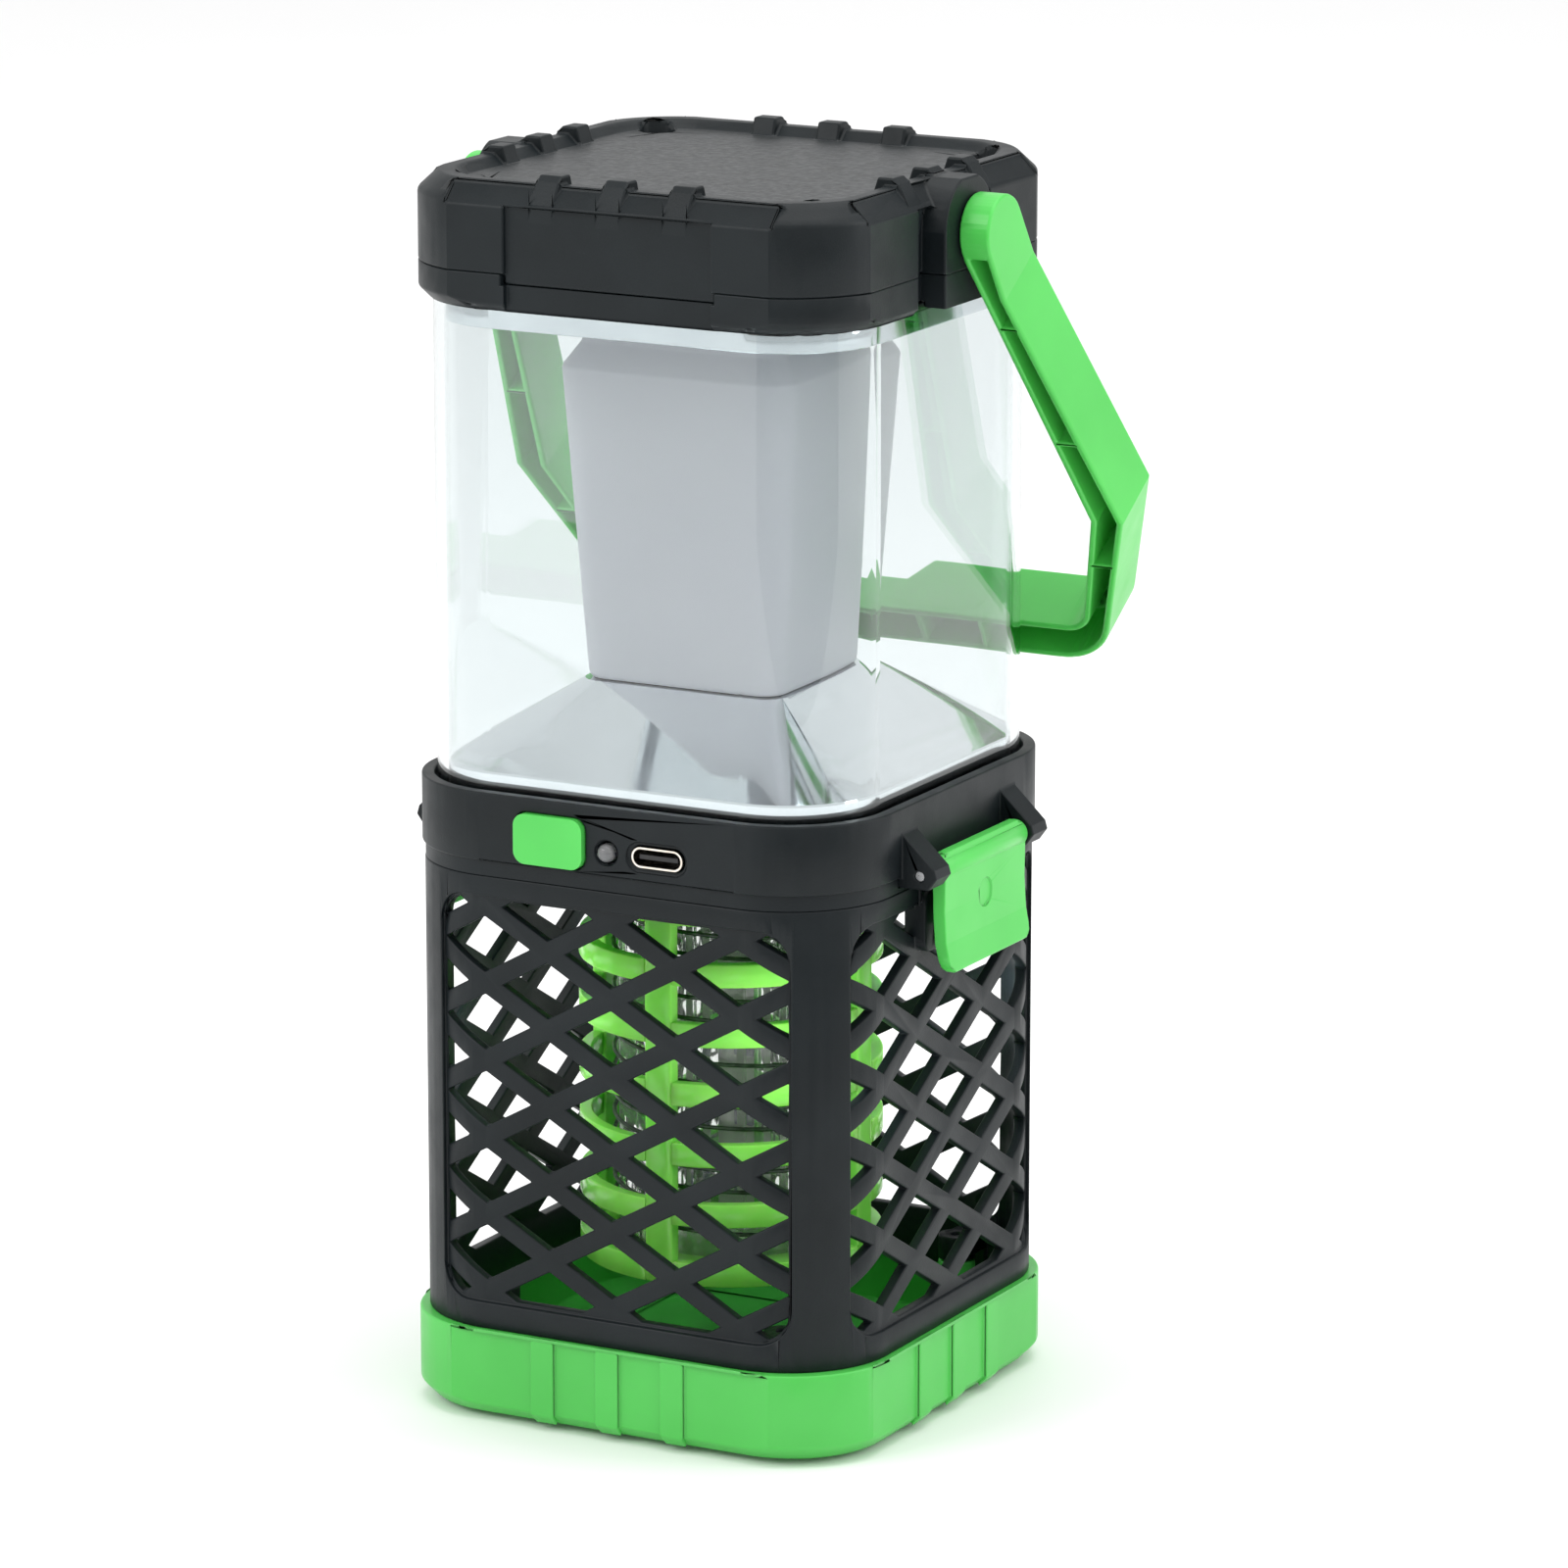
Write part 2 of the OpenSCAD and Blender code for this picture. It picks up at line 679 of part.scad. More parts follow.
module tower_plate() {
    color("green", 0.8) difference() {
        union() {
            translate([0, 0, 86.7]) cylinder(h = head_z - 86.75, r = guard_r - 0.4, $fn = 96);
            translate([0, 0, 84.7]) cylinder(h = 2.5, r = tube_r + 2.2, $fn = 96);
        }
        translate([0, 0, 80]) cylinder(h = 5.7, r = tube_r + 0.2, $fn = 96);
        for (k = [0:3]) rotate([0, 0, 45 + 90 * k]) translate([20, 0, 80]) cylinder(h = 20, r = 1);
        for (x = [-8, 8]) translate([x, 0, 80]) cylinder(h = 20, r = 1.6);
        for (k = [0:3]) rotate([0, 0, 90 * k]) translate([-2.5, -guard_r - 1, 80]) cube([5, 3.8, 7.2]);
    }
}

module tower_base() {
    color("green", 0.8) difference() {
        translate([0, 0, guard_foot]) cylinder(h = 3.4, r = guard_r - ring_wall - 0.05, $fn = 96);
        translate([0, 0, guard_foot + 2]) cylinder(h = 3, r = tube_r + 0.2, $fn = 96);
        for (k = [0:3]) rotate([0, 0, 90 * k])
            translate([-2.5, -guard_r - 1, guard_foot - 1]) cube([5, 3.8, 6]);
    }
}

module fluted_tube() {
    color("white", 0.4) translate([0, 0, guard_foot + 2.05]) linear_extrude(height = 85.6 - guard_foot - 2.05)
        difference() {
            polygon([for (i = [0:2 * flute_count - 1])
                (tube_r - (i % 2) * 0.55) * [cos(i * 180 / flute_count), sin(i * 180 / flute_count)]]);
            circle(r = tube_r - tube_wall, $fn = 96);
        }
}

module uv_board() {
    color("white") translate([-6, -0.8, guard_foot + 3.4]) cube([12, 1.6, 84 - guard_foot - 2]);
}

module uv_leds() {
    color("violet") for (s = [-1, 1], i = [0:4])
        translate([-1.75, s > 0 ? 0.85 : -2.35, guard_foot + 9 + 11.5 * i]) cube([3.5, 1.5, 3.5]);
}

// One turn of wire after another, as rings of points joined into a tube
module helix_wire(start) {
    turns = (wire_z1 - wire_z0) / wire_lead;
    n = floor(turns * wire_steps);
    pts = [for (i = [0:n], k = [0:wire_sides - 1])
        let (a = start - 360 * i / wire_steps, q = 360 * k / wire_sides, w = wire_d / 2)
        [(wire_r + w * cos(q)) * cos(a), (wire_r + w * cos(q)) * sin(a),
            wire_z0 + wire_lead * i / wire_steps + w * sin(q)]];
    sides = [for (i = [0:n - 1], k = [0:wire_sides - 1])
        let (a = i * wire_sides + k, b = i * wire_sides + (k + 1) % wire_sides)
        [a, b, b + wire_sides, a + wire_sides]];
    ends = [[for (k = [wire_sides - 1:-1:0]) k], [for (k = [0:wire_sides - 1]) n * wire_sides + k]];
    polyhedron(points = pts, faces = concat(sides, ends));
}

module grid_wire_a() {
    color("dimgray") helix_wire(0);
}

module grid_wire_b() {
    color("dimgray") helix_wire(180);
}

module wire_lugs() {
    color("green") for (a = [20, 200], z = [wire_z0 - 2.6, wire_z1 + 0.9])
        rotate([0, 0, a]) translate([tube_r + 0.05, -1.4, z]) cube([2, 2.8, 1.6]);
}

// ---- Handle, at rest behind the lantern ----

// Points of an arc from angle a0 to angle a1
function arc(x, y, r, a0, a1, n = 12) =
    [for (i = [0:n]) let (a = a0 + (a1 - a0) * i / n) [x + r * cos(a), y + r * sin(a)]];

// Outline of the handle in its own plane, with z = 0 at the pivots and both lower corners rounded
module bail(at_pivot, flare_from, at_elbow, slope, foot, r) {
    lean = atan(slope);
    corner_x = at_elbow - (foot - r - elbow_w) * slope - r / cos(lean);
    polygon(concat(
        [[-at_pivot, 10], [at_pivot, 10], [at_pivot, -flare_from], [at_elbow, -elbow_w]],
        arc(corner_x, r - foot, r, -lean, -90),
        arc(-corner_x, r - foot, r, -90, lean - 180),
        [[-at_elbow, -elbow_w], [-at_pivot, -flare_from]]));
}

// Channel that opens to the front of the handle, crossed by thin ribs
module handle_channel() {
    difference() {
        intersection() {
            xz_extrude(-handle_front - 1, 20) difference() {
                bail(handle_out - 1.1, 10.7, elbow_out - 1.2, 0.356, grip_out - 1.1, 9.9);
                bail(handle_in + 1.1, 3.4, elbow_in + 1.2, 0.315, grip_in + 1.1, 5.6);
            }
            yz_extrude(-60, 120) polygon([[-handle_front - 1, -1.8], [handle_back - 1.5, -7.5],
                [handle_back - 1.5, -95], [-handle_front - 1, -95]]);
        }
        for (w = [16.7, 40.5, 67]) translate([-60, -20, -w - 0.45]) cube([120, 40, 0.9]);
        for (s = [-1, 1]) translate([s * 22.6 - 0.5, -20, -95]) cube([1, 40, 20]);
        for (s = [-1, 1]) translate([s * 11.2 - 0.6, -20, -95]) cube([1.2, 40, 20]);
        translate([-11.2, 0.8, -95]) cube([22.4, 20, 20]);
    }
}

module handle() {
    color("limegreen") {
        translate([0, 0, pivot_z]) rotate([handle_tilt, 0, 0]) difference() {
            intersection() {
                xz_extrude(-handle_front, handle_front + handle_back) difference() {
                    bail(handle_out, 10.5, elbow_out, 0.356, grip_out, 11);
                    bail(handle_in, 3.2, elbow_in, 0.315, grip_in, 4.5);
                    translate([-handle_in, 9]) square([2 * handle_in, 2]);
                }
                yz_extrude(-60, 120) polygon(concat([[handle_back, -95]],
                    arc((handle_back - handle_front) / 2, -end_drop, (handle_back + handle_front) / 2, 0, 180, 24),
                    [[-handle_front, -95]]));
            }
            handle_channel();
            translate([0, 0, -95]) linear_extrude(height = 20)
                polygon([[-10.65, 8.9], [-6.4, 2.1], [6.4, 2.1], [10.65, 8.9]]);
        }
        for (s = [-1, 1]) {
            along_x(s > 0 ? 35.4 : -42.7, 0, pivot_z, trunnion_r, 7.3);
            along_x(s > 0 ? 33.9 : -35.5, 0, pivot_z, trunnion_r + 0.7, 1.6);
        }
    }
}

// ---- Latches, drawn on the +X face and mirrored for the other ----

module latch_shape() {
    difference() {
        union() {
            intersection() {
                xz_extrude(-latch_w, 2 * latch_w)
                    polygon([[43, 94], [43.6, 94.5], [44.8, 94.3], [45.4, 91], [45.3, 85], [45.6, 80],
                        [46.5, 75.4], [45.9, 75], [44.6, 75.2], [43.5, 80], [43.2, 85]]);
                yz_extrude(40, 10) translate([0, 84.75]) rrect(2 * latch_w, 19.6, 3);
            }
            along_y(latch_x, -latch_w, latch_z, 2.2, 2 * latch_w);
            xz_extrude(-9.2, 18.4) polygon([[43.8, 84.9], [43.1, 84], [40.5, 84], [40.5, 82.9],
                [41.7, 81.2], [44, 81.2]]);
        }
        along_y(latch_x, -latch_w - 1, latch_z, latch_pin_r + 0.05, 2 * latch_w + 2);
        along_x(45.05, 0, 85.4, 2.3, 3);
    }
}

module latch_right() {
    color("limegreen") latch_shape();
}

module latch_left() {
    color("limegreen") mirror([1, 0, 0]) latch_shape();
}

base_tray();
cage_front();
cage_back();
cage_right();
cage_left();
tray_screws();
collar_housing();
collar_floor();
floor_screws();
shade();
cap_base();
cap_top();
cap_screws();
top_reflector();
lantern_board();
lantern_leds();
diffuser();
lower_reflector();
main_board();
power_switch();
indicator_led();
usb_shell();
usb_tongue();
battery_pack();
hv_transformer();
hv_capacitors();
guard_rings();
guard_posts();
tower_plate();
tower_base();
fluted_tube();
uv_board();
uv_leds();
grid_wire_a();
grid_wire_b();
wire_lugs();
handle();
power_button();
switch_plunger();
latch_right();
latch_left();
latch_pins();
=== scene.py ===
import json
import math

import bmesh
import bpy
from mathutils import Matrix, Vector


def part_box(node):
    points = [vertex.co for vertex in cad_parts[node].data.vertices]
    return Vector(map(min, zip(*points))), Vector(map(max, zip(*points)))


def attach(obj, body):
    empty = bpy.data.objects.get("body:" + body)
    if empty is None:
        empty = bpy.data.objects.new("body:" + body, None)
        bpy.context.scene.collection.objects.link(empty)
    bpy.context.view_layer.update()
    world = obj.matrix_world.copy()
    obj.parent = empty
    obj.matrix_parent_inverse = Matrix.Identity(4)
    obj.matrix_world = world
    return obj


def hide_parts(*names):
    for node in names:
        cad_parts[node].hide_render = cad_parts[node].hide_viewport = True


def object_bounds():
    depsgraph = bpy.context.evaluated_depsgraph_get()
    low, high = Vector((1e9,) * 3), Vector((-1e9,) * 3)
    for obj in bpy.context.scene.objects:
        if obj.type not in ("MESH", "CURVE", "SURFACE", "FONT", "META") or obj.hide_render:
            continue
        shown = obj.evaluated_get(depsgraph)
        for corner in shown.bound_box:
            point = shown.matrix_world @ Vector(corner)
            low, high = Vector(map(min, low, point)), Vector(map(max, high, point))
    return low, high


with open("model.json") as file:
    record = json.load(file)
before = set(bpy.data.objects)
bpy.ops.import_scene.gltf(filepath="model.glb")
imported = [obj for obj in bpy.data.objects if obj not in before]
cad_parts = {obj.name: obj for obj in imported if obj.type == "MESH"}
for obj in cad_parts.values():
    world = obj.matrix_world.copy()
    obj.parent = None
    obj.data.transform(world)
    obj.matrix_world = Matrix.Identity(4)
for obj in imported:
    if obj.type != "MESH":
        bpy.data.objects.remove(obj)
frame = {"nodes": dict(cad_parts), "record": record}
cad_lo, cad_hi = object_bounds()
nodes = frame["nodes"]
MM = 0.001
WELD = 0.000002


# ---- Materials ----


def surface(name, dark, light, spots, rough, grain, bump, depth=0.00004, **sockets):
    """A colour that wanders from dark to light, a roughness that wanders, and a fine moulded grain."""
    mat = bpy.data.materials.new(name)
    mat.use_nodes = True
    nt = mat.node_tree
    bsdf = nt.nodes["Principled BSDF"]
    coord = nt.nodes.new("ShaderNodeTexCoord")

    def noise(scale, detail):
        n = nt.nodes.new("ShaderNodeTexNoise")
        n.inputs["Scale"].default_value = scale
        n.inputs["Detail"].default_value = detail
        nt.links.new(coord.outputs["Object"], n.inputs["Vector"])
        return n.outputs["Fac"]

    broad = noise(spots, 3)
    ramp = nt.nodes.new("ShaderNodeValToRGB")
    ramp.color_ramp.elements[0].position = 0.35
    ramp.color_ramp.elements[0].color = (*dark, 1)
    ramp.color_ramp.elements[1].position = 0.65
    ramp.color_ramp.elements[1].color = (*light, 1)
    nt.links.new(broad, ramp.inputs["Fac"])
    nt.links.new(ramp.outputs["Color"], bsdf.inputs["Base Color"])
    span = nt.nodes.new("ShaderNodeMapRange")
    span.inputs["From Min"].default_value = 0.3
    span.inputs["From Max"].default_value = 0.7
    span.inputs["To Min"].default_value = rough[0]
    span.inputs["To Max"].default_value = rough[1]
    nt.links.new(noise(spots * 3, 4), span.inputs["Value"])
    nt.links.new(span.outputs["Result"], bsdf.inputs["Roughness"])
    relief = nt.nodes.new("ShaderNodeBump")
    relief.inputs["Strength"].default_value = bump
    relief.inputs["Distance"].default_value = depth
    nt.links.new(noise(grain, 2), relief.inputs["Height"])
    nt.links.new(relief.outputs["Normal"], bsdf.inputs["Normal"])
    for key, value in sockets.items():
        bsdf.inputs[key.replace("_", " ")].default_value = value
    return mat


BLACK = surface("black_satin_moulding", (0.005, 0.0080, 0.0095), (0.008, 0.0120, 0.0140), 60,
    (0.40, 0.50), 3200, 0.5, Specular_IOR_Level=0.26)
BLACK_FINE = surface("black_fine_part", (0.010, 0.010, 0.011), (0.018, 0.018, 0.019), 200,
    (0.3, 0.45), 3000, 0.3)
GREEN = surface("green_soft_moulding", (0.072, 0.54, 0.080), (0.086, 0.60, 0.095), 45, (0.30, 0.40),
    2400, 0.18, Subsurface_Weight=0.2, Subsurface_Scale=0.0025, Subsurface_Radius=(0.3, 1.0, 0.3))
GREEN_TRAY = surface("green_tray_moulding", (0.066, 0.48, 0.070), (0.078, 0.53, 0.083), 40,
    (0.32, 0.44), 2600, 0.2, Subsurface_Weight=0.2, Subsurface_Scale=0.0025,
    Subsurface_Radius=(0.3, 1.0, 0.3))
GREEN_CLEAR = surface("green_translucent", (0.24, 0.86, 0.10), (0.30, 0.92, 0.13), 60, (0.16, 0.26),
    1600, 0.12, Subsurface_Weight=0.6, Subsurface_Scale=0.004, Subsurface_Radius=(0.5, 1.0, 0.3))
CLEAR = surface("clear_shade", (0.83, 0.87, 0.875), (0.85, 0.885, 0.89), 25, (0.0, 0.015), 35, 0.06,
    0.0002, Transmission_Weight=1.0, IOR=1.49)
CLEAR_TUBE = surface("clear_fluted", (0.93, 0.96, 0.94), (0.97, 0.98, 0.97), 120, (0.02, 0.06), 500,
    0.1, 0.00005, Transmission_Weight=0.92, IOR=1.47)
MILKY = surface("milky_diffuser", (0.88, 0.875, 0.98), (0.91, 0.905, 1.0), 30, (0.34, 0.44), 1800,
    0.12, Subsurface_Weight=0.5, Subsurface_Scale=0.004, Subsurface_Radius=(1.0, 0.95, 1.0))
BRIGHT = surface("bright_plating", (0.85, 0.87, 0.89), (0.90, 0.92, 0.94), 50, (0.035, 0.085), 180,
    0.05, 0.00006, Metallic=1.0)
# A darker copy of the bright plating, used on the top reflector: painted shade for the dim reflection
# under the cap.
BRIGHT_PAINTED_SHADE = surface("bright_plating_painted_shade", (0.62, 0.65, 0.67), (0.70, 0.73, 0.75), 50, (0.06, 0.12),
    180, 0.05, 0.00006, Metallic=1.0)
STEEL = surface("screw_steel", (0.42, 0.43, 0.45), (0.58, 0.59, 0.60), 500, (0.22, 0.38), 3000, 0.3,
    Metallic=1.0)
GRID_STEEL = surface("grid_wire_steel", (0.10, 0.105, 0.11), (0.20, 0.205, 0.21), 600, (0.28, 0.42),
    4000, 0.25, Metallic=1.0)
PORT_METAL = surface("port_plating", (0.78, 0.70, 0.60), (0.88, 0.82, 0.74), 800, (0.14, 0.24),
    4000, 0.15, Metallic=1.0)
BOARD_WHITE = surface("white_board", (0.74, 0.75, 0.73), (0.82, 0.83, 0.81), 300, (0.35, 0.5), 2000,
    0.15)
BOARD_GREEN = surface("green_board", (0.010, 0.10, 0.035), (0.018, 0.15, 0.055), 500, (0.28, 0.4),
    2500, 0.25)
LED_AMBER = surface("amber_diode", (0.78, 0.58, 0.10), (0.90, 0.70, 0.20), 700, (0.25, 0.4), 4000,
    0.2)
LED_VIOLET = surface("violet_diode", (0.42, 0.36, 0.66), (0.58, 0.52, 0.82), 700, (0.15, 0.25),
    4000, 0.15, Transmission_Weight=0.3)
CELL = surface("cell_wrap", (0.10, 0.16, 0.34), (0.13, 0.20, 0.42), 200, (0.3, 0.42), 900, 0.25)
COPPER = surface("wound_copper", (0.42, 0.17, 0.06), (0.60, 0.27, 0.11), 900, (0.3, 0.45), 3600,
    0.8, Metallic=0.8)
CAP_BLUE = surface("capacitor_sleeve", (0.02, 0.08, 0.26), (0.04, 0.12, 0.36), 400, (0.25, 0.4),
    2200, 0.2)
LENS = surface("indicator_lens", (0.80, 0.82, 0.84), (0.90, 0.91, 0.92), 500, (0.02, 0.08), 2000,
    0.1, Transmission_Weight=0.85, IOR=1.5)

SLOTS = {
    "green_tray": GREEN_TRAY, "green_soft": GREEN, "green_clear": GREEN_CLEAR, "black_shell": BLACK,
    "black_part": BLACK_FINE, "clear": CLEAR, "milky": MILKY, "bright": BRIGHT, "steel": STEEL,
    "grid_steel": GRID_STEEL, "board_white": BOARD_WHITE, "board_green": BOARD_GREEN,
    "led_amber": LED_AMBER, "led_violet": LED_VIOLET, "port_metal": PORT_METAL, "cell_wrap": CELL,
    "copper_part": COPPER, "cap_blue": CAP_BLUE,
}
OWN = {"fluted_tube": CLEAR_TUBE, "indicator_led": LENS, "top_reflector": BRIGHT_PAINTED_SHADE}
for part in frame["record"]["subparts"]:
    node = nodes[part["node"]]
    node.data.materials.clear()
    node.data.materials.append(OWN.get(part["node"], SLOTS[part["material_slot"]]))


# ---- Rounded edges on the CAD nodes that stay ----


def round_edges(obj, width, angle):
    """Bevels the edges sharper than angle degrees, to a width in millimetres."""
    edge = obj.modifiers.new("edge", "BEVEL")
    edge.width = width * MM
    edge.segments = 2
    edge.limit_method = "ANGLE"
    edge.angle_limit = math.radians(angle)
    edge.use_clamp_overlap = False
    edge.harden_normals = True


def soften(name, width):
    """Welds a CAD node's mesh, then rounds its edges."""
    weld = nodes[name].modifiers.new("weld", "WELD")
    weld.merge_threshold = WELD
    round_edges(nodes[name], width, 32)


for name, width in {
    "base_tray": 0.35, "handle": 0.45, "cap_top": 0.4, "cap_base": 0.3, "collar_housing": 0.3,
    "latch_right": 0.2, "latch_left": 0.2, "guard_posts": 0.35, "guard_rings": 0.25,
    "top_reflector": 0.25, "tower_plate": 0.25, "tower_base": 0.25,
}.items():
    soften(name, width)


# ---- Mesh tools ----


def add(name, data):
    """Puts data in the scene as a new object."""
    obj = bpy.data.objects.new(name, data)
    bpy.context.scene.collection.objects.link(obj)
    return obj


def make(name, verts, faces, mat, body, smooth=40):
    """A piece made from points and faces. Edges sharper than smooth degrees stay sharp."""
    mesh = bpy.data.meshes.new(name)
    mesh.from_pydata(verts, [], faces)
    obj = add(name, mesh)
    bm = bmesh.new()
    bm.from_mesh(mesh)
    bmesh.ops.remove_doubles(bm, verts=bm.verts, dist=1e-7)
    bmesh.ops.recalc_face_normals(bm, faces=bm.faces)
    for face in bm.faces:
        face.smooth = True
    for edge in bm.edges:
        edge.smooth = len(edge.link_faces) == 2 and edge.calc_face_angle() < math.radians(smooth)
    bm.to_mesh(mesh)
    bm.free()
    mesh.materials.append(mat)
    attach(obj, body)
    return obj


def square_ring(a, r, z, n=14):
    """Points round a rounded square of half width a and corner radius r, at height z."""
    pts = []
    for k, (sx, sy) in enumerate(((1, 1), (-1, 1), (-1, -1), (1, -1))):
        for i in range(n + 1):
            t = math.radians(90 * k + 90 * i / n)
            pts.append((sx * (a - r) + r * math.cos(t), sy * (a - r) + r * math.sin(t), z))
    return [tuple(c * MM for c in p) for p in pts]


def loft(rings, closed=False):
    """Joins rings of equal length. closed also joins the last ring to the first."""
    n = len(rings[0])
    verts = [p for ring in rings for p in ring]
    faces = []
    for j in range(len(rings) if closed else len(rings) - 1):
        a, b = j * n, ((j + 1) % len(rings)) * n
        faces += [(a + i, a + (i + 1) % n, b + (i + 1) % n, b + i) for i in range(n)]
    return verts, faces


# ---- Cage: the four CAD walls joined into the one moulding they are ----


def cage_moulding():
    """Joins the walls, drops the faces where they met, and rounds the edges of the result."""
    walls = ["cage_front", "cage_back", "cage_right", "cage_left"]
    bm = bmesh.new()
    for wall in walls:
        bm.from_mesh(nodes[wall].data)
    bmesh.ops.remove_doubles(bm, verts=bm.verts, dist=WELD)
    seams = [f for f in bm.faces if all(abs(abs(v.co.x) - abs(v.co.y)) < 0.00001 for v in f.verts)]
    bmesh.ops.delete(bm, geom=seams, context="FACES")
    bmesh.ops.remove_doubles(bm, verts=bm.verts, dist=0.00002)
    bmesh.ops.dissolve_limit(bm, angle_limit=math.radians(0.5), verts=bm.verts, edges=bm.edges)
    mesh = bpy.data.meshes.new("cage_moulding")
    bm.to_mesh(mesh)
    bm.free()
    obj = add("cage_moulding", mesh)
    mesh.materials.clear()
    mesh.materials.append(BLACK)
    for poly in mesh.polygons:
        poly.use_smooth = True
        poly.material_index = 0
    round_edges(obj, 0.28, 35)
    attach(obj, "stand")
    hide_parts(*walls)


cage_moulding()


# ---- Diffuser and the plated reflector under it ----

FOLD = 166.4
FOOT_A = 17.3


def diffuser_shell():
    """A thin cup that widens from its foot to the fold, then steps in to a straight neck."""
    lo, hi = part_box("diffuser")
    foot, top, wide = lo.z / MM, hi.z / MM, hi.x / MM
    outer = [(wide - 2.9, 3.4, top), (wide - 2.9, 3.4, FOLD + 4.2), (wide - 2.6, 3.7, FOLD + 3.6),
        (wide - 0.25, 5.2, FOLD + 0.35), (wide, 5.4, FOLD - 0.3)]
    for s in (0.25, 0.5, 0.75, 1):
        outer.append((wide + (FOOT_A - wide) * s, 5.4 - 1.2 * s, FOLD - 0.3 - (FOLD - 1.5 - foot) * s))
    outer += [(FOOT_A - 0.15, 4.1, foot + 0.55), (FOOT_A - 0.5, 3.8, foot + 0.15),
        (FOOT_A - 1.1, 3.2, foot)]
    inner = [(FOOT_A - 1.6, 2.8, foot + 1.3), (wide - 1.3, 4.4, FOLD - 0.6),
        (wide - 4.1, 2.4, FOLD + 3.6), (wide - 4.1, 2.4, top)]
    verts, faces = loft([square_ring(*ring) for ring in outer])
    n_ring = len(verts) // len(outer)
    base = (len(outer) - 1) * n_ring
    faces.append(tuple(range(base, base + n_ring)))
    more, walls = loft([square_ring(*ring) for ring in inner])
    shift = len(verts)
    verts += more
    faces += [tuple(i + shift for i in face) for face in walls]
    faces.append(tuple(range(shift, shift + n_ring)))
    last = shift + (len(inner) - 1) * n_ring
    faces += [(i, (i + 1) % n_ring, last + (i + 1) % n_ring, last + i) for i in range(n_ring)]
    diffuser = make("diffuser_shell", verts, faces, MILKY, "head", smooth=50)
    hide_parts("diffuser")


def reflector_shell():
    """A square pyramid cut off at the top, with a soft shoulder and an upright skirt."""
    lo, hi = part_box("lower_reflector")
    a, z0, z1 = hi.x / MM, lo.z / MM, hi.z / MM
    skirt = [(a, 14.1, z0), (a, 14.1, 104.4), (a - 0.12, 14.0, 104.75), (a - 0.5, 13.7, 104.98),
        (17.7, 4.1, z1), (16.4, 3.0, z1), (a - 2.4, 12.4, 103.7), (a - 1.2, 12.9, 103.2),
        (a - 1.2, 12.9, z0)]
    verts, faces = loft([square_ring(*ring, n=20) for ring in skirt], closed=True)
    reflector = make("reflector_shell", verts, faces, BRIGHT, "head", smooth=18)
    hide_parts("lower_reflector")


diffuser_shell()
reflector_shell()


# ---- Grid wires, with their ends led to the lugs ----

WIRE_HALF = 0.35 * MM
WIRE_LEAD = 6.94 * MM


def grid_wire(name, node, turn):
    """One coil of wire, with both ends turned and led to the lugs."""
    lo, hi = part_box(node)
    radius = hi.x - WIRE_HALF
    z0, z1 = lo.z + WIRE_HALF, hi.z - WIRE_HALF
    turns = (z1 - z0) / WIRE_LEAD
    steps = int(turns * 40)
    path = [(math.radians(20), z0 - 0.0018), (math.radians(9), z0 - 0.0007)]
    path += [(-2 * math.pi * turns * i / steps, z0 + (z1 - z0) * i / steps) for i in range(steps + 1)]
    end = -2 * math.pi * turns
    goal = end - (end - math.radians(20)) % (2 * math.pi)
    path += [(end + (goal - end) * t, z1 + 0.0018 * t) for t in (0.35, 0.7, 1.0)]
    curve = bpy.data.curves.new(name, "CURVE")
    curve.dimensions = "3D"
    curve.bevel_depth = WIRE_HALF
    curve.bevel_resolution = 3
    curve.use_fill_caps = True
    spline = curve.splines.new("POLY")
    spline.points.add(len(path) - 1)
    for point, (t, z) in zip(spline.points, path):
        point.co = (radius * math.cos(t + turn), radius * math.sin(t + turn), z, 1)
    obj = add(name, curve)
    curve.materials.append(GRID_STEEL)
    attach(obj, "head")
    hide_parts(node)


grid_wire("wire_coil_a", "grid_wire_a", 0)
grid_wire("wire_coil_b", "grid_wire_b", math.pi)


# ---- Grained panel sunk in the cap top, its colour painted lighter as sheen ----

# The grain in the bump is real; the base colour is painted lighter than the shell, a painted sheen for
# the top light the grain catches.
GRAIN_AND_SHEEN = surface("black_grained_panel_painted_sheen", (0.012, 0.015, 0.016), (0.022, 0.026, 0.028), 300,
    (0.42, 0.56), 1500, 1.0, 0.0001, Specular_IOR_Level=0.6)
PANEL_Z = 196.3 * MM
cap_top = nodes["cap_top"].data
cap_top.materials.append(GRAIN_AND_SHEEN)
for poly in cap_top.polygons:
    on_panel = abs(poly.center.z - PANEL_Z) < 0.00005 and poly.normal.z > 0.99
    poly.material_index = 1 if on_panel else 0


# ---- Stage, light and camera ----

floor_mesh = bpy.data.meshes.new("floor")
floor_mesh.from_pydata([(-9, -9, 0), (9, -9, 0), (9, 9, 0), (-9, 9, 0)], [], [(0, 1, 2, 3)])
floor = add("floor", floor_mesh)
floor.location.z = cad_lo.z - 0.0001
PALE = surface("pale_floor", (0.93, 0.93, 0.93), (0.95, 0.95, 0.95), 2, (0.7, 0.8), 300, 0.02)
floor_mesh.materials.append(PALE)

world = bpy.data.worlds.new("studio")
world.use_nodes = True
bpy.context.scene.world = world
world.node_tree.nodes["Background"].inputs["Color"].default_value = (1.0, 1.0, 1.0, 1)
world.node_tree.nodes["Background"].inputs["Strength"].default_value = 0.95

middle = (cad_lo + cad_hi) / 2


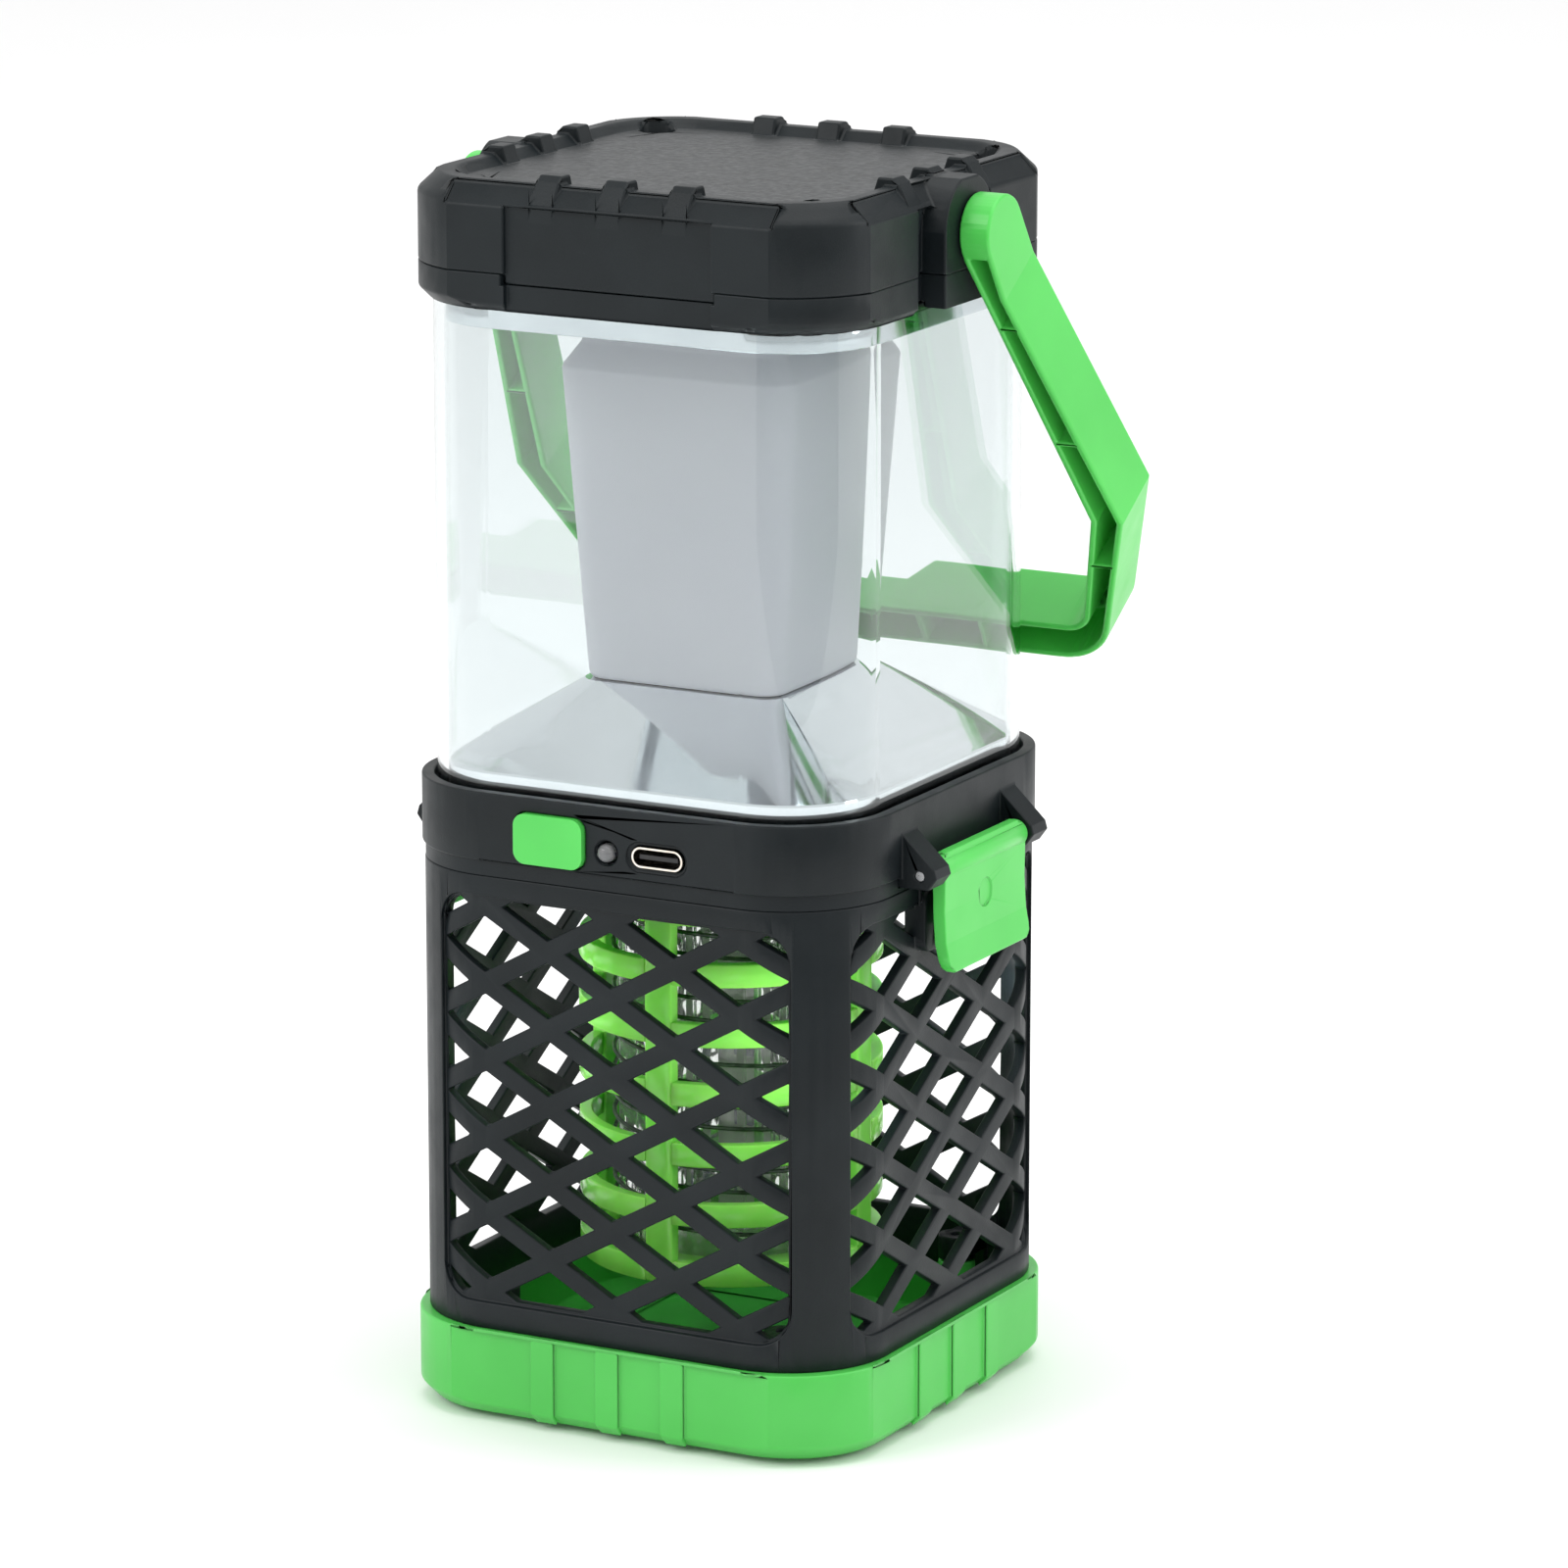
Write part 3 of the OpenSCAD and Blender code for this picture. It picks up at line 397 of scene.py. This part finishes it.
def softbox(name, place, size, power):
    """A square light at a place given from the middle of the object, turned to face it."""
    data = bpy.data.lights.new(name, "AREA")
    data.shape = "RECTANGLE"
    data.size, data.size_y = size
    data.energy = power
    light = add(name, data)
    light.location = middle + Vector(place)
    light.rotation_mode = "QUATERNION"
    light.rotation_quaternion = (-Vector(place)).to_track_quat("-Z", "Y")


softbox("key", (-0.7, -1.0, 0.9), (0.7, 0.7), 6)
softbox("top", (0.1, 0.1, 1.3), (1.1, 1.1), 7)
softbox("rim", (1.1, 0.4, 0.6), (0.4, 0.9), 4)


FILL_X, FILL_Y, FILL_Z = 0.031, 0.029, 0.062
FILL_POWER = 0.018


def inner_fill(x, y):
    """A weak lamp in the cage, for the light that a white table throws in from all sides."""
    data = bpy.data.lights.new("inner_fill", "POINT")
    data.shadow_soft_size = 0.008
    data.energy = FILL_POWER
    lamp = add("inner_fill", data)
    lamp.location = (x, y, FILL_Z)
    lamp.visible_camera = False
    lamp.visible_glossy = False
    lamp.visible_transmission = False


for fill_x in (-FILL_X, FILL_X):
    for fill_y in (-FILL_Y, FILL_Y):
        inner_fill(fill_x, fill_y)

CARD = surface("dark_card", (0.03, 0.03, 0.035), (0.05, 0.05, 0.055), 5, (0.8, 0.9), 100, 0.05)


def dark_card(name, place, size):
    """A dark board out of view that only shows in the gloss of plated and clear pieces."""
    mesh = bpy.data.meshes.new(name)
    w, h = size[0] / 2, size[1] / 2
    mesh.from_pydata([(-w, -h, 0), (w, -h, 0), (w, h, 0), (-w, h, 0)], [], [(0, 1, 2, 3)])
    card = add(name, mesh)
    card.location = middle + Vector(place)
    card.rotation_mode = "QUATERNION"
    card.rotation_quaternion = Vector(place).to_track_quat("Z", "Y")
    mesh.materials.append(CARD)
    card.visible_camera = False
    card.visible_shadow = False
    card.visible_diffuse = False
    card.visible_transmission = False


dark_card("card_over", (-0.62, -0.35, 1.05), (0.55, 0.55))
dark_card("card_back", (0.33, 1.15, 0.62), (0.7, 0.42))
dark_card("card_front", (0.315, -0.389, 0.0), (0.95, 0.17))

azimuth, elevation, distance = math.radians(28.22), math.radians(13.312), 1.225634
aim = Vector((0.007427, 0.003986, 0.097624))
toward = Vector((math.sin(azimuth) * math.cos(elevation), -math.cos(azimuth) * math.cos(elevation),
    math.sin(elevation)))
lens = bpy.data.cameras.new("camera")
lens.sensor_width = 36
lens.lens = 177.27
lens.clip_start = 0.05
lens.clip_end = 50
camera = add("camera", lens)
camera.location = aim + toward * distance
camera.rotation_mode = "QUATERNION"
camera.rotation_quaternion = (-toward).to_track_quat("-Z", "Y")
bpy.context.scene.camera = camera
bpy.context.scene.view_settings.view_transform = "Standard"
